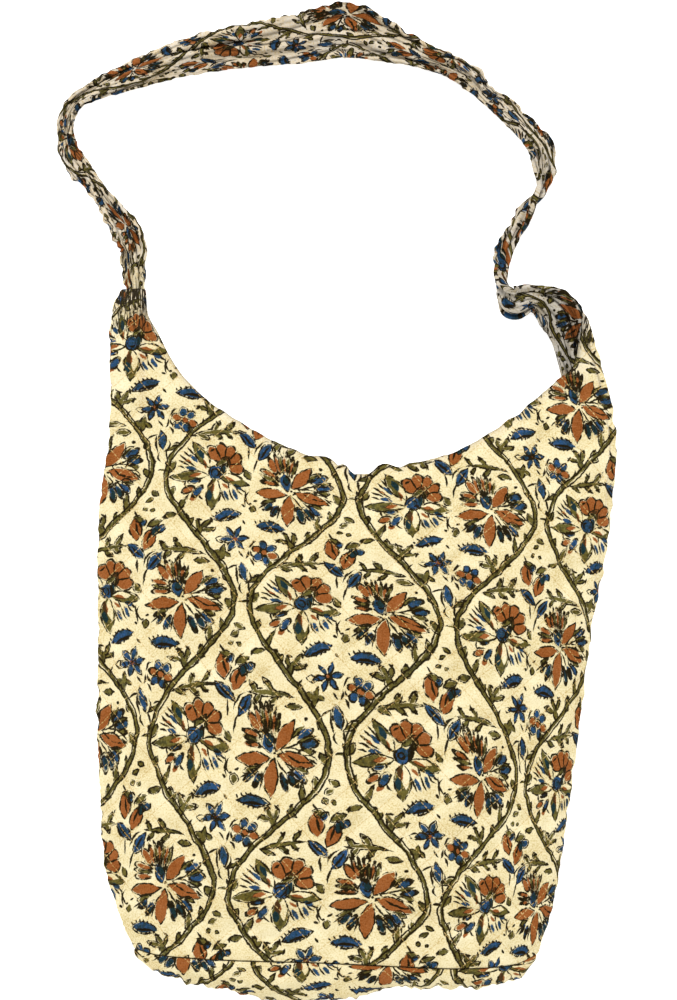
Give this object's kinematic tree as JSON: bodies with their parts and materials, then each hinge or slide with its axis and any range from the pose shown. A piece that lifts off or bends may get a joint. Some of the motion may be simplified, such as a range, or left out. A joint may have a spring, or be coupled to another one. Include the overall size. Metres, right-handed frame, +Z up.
{
  "type": "quilted cotton shoulder tote bag",
  "caption": "Quilted, block-printed cotton shoulder tote with a scooped open mouth, a bulging base panel and one gathered cloth strap, lying on its back.",
  "frame": {"origin": "middle of the bag's outline, on the surface that it lies on", "axes": "+Y from the base to the strap, +Z up from the back panel through the front panel, +X to the right of someone who looks at the front"},
  "size_m": [0.3924, 0.6987, 0.0552],
  "materials": {
    "body_cotton": "cream quilted cotton with a rust, blue, olive and black vine and flower block print",
    "strap_cotton": "doubled cotton of the same block print on a greyer ground, gathered into soft folds"
  },
  "bodies": {
    "root": {"front_panel": "body_cotton", "back_panel": "body_cotton", "base_panel": "body_cotton", "strap": "strap_cotton"}
  },
  "joints": []
}
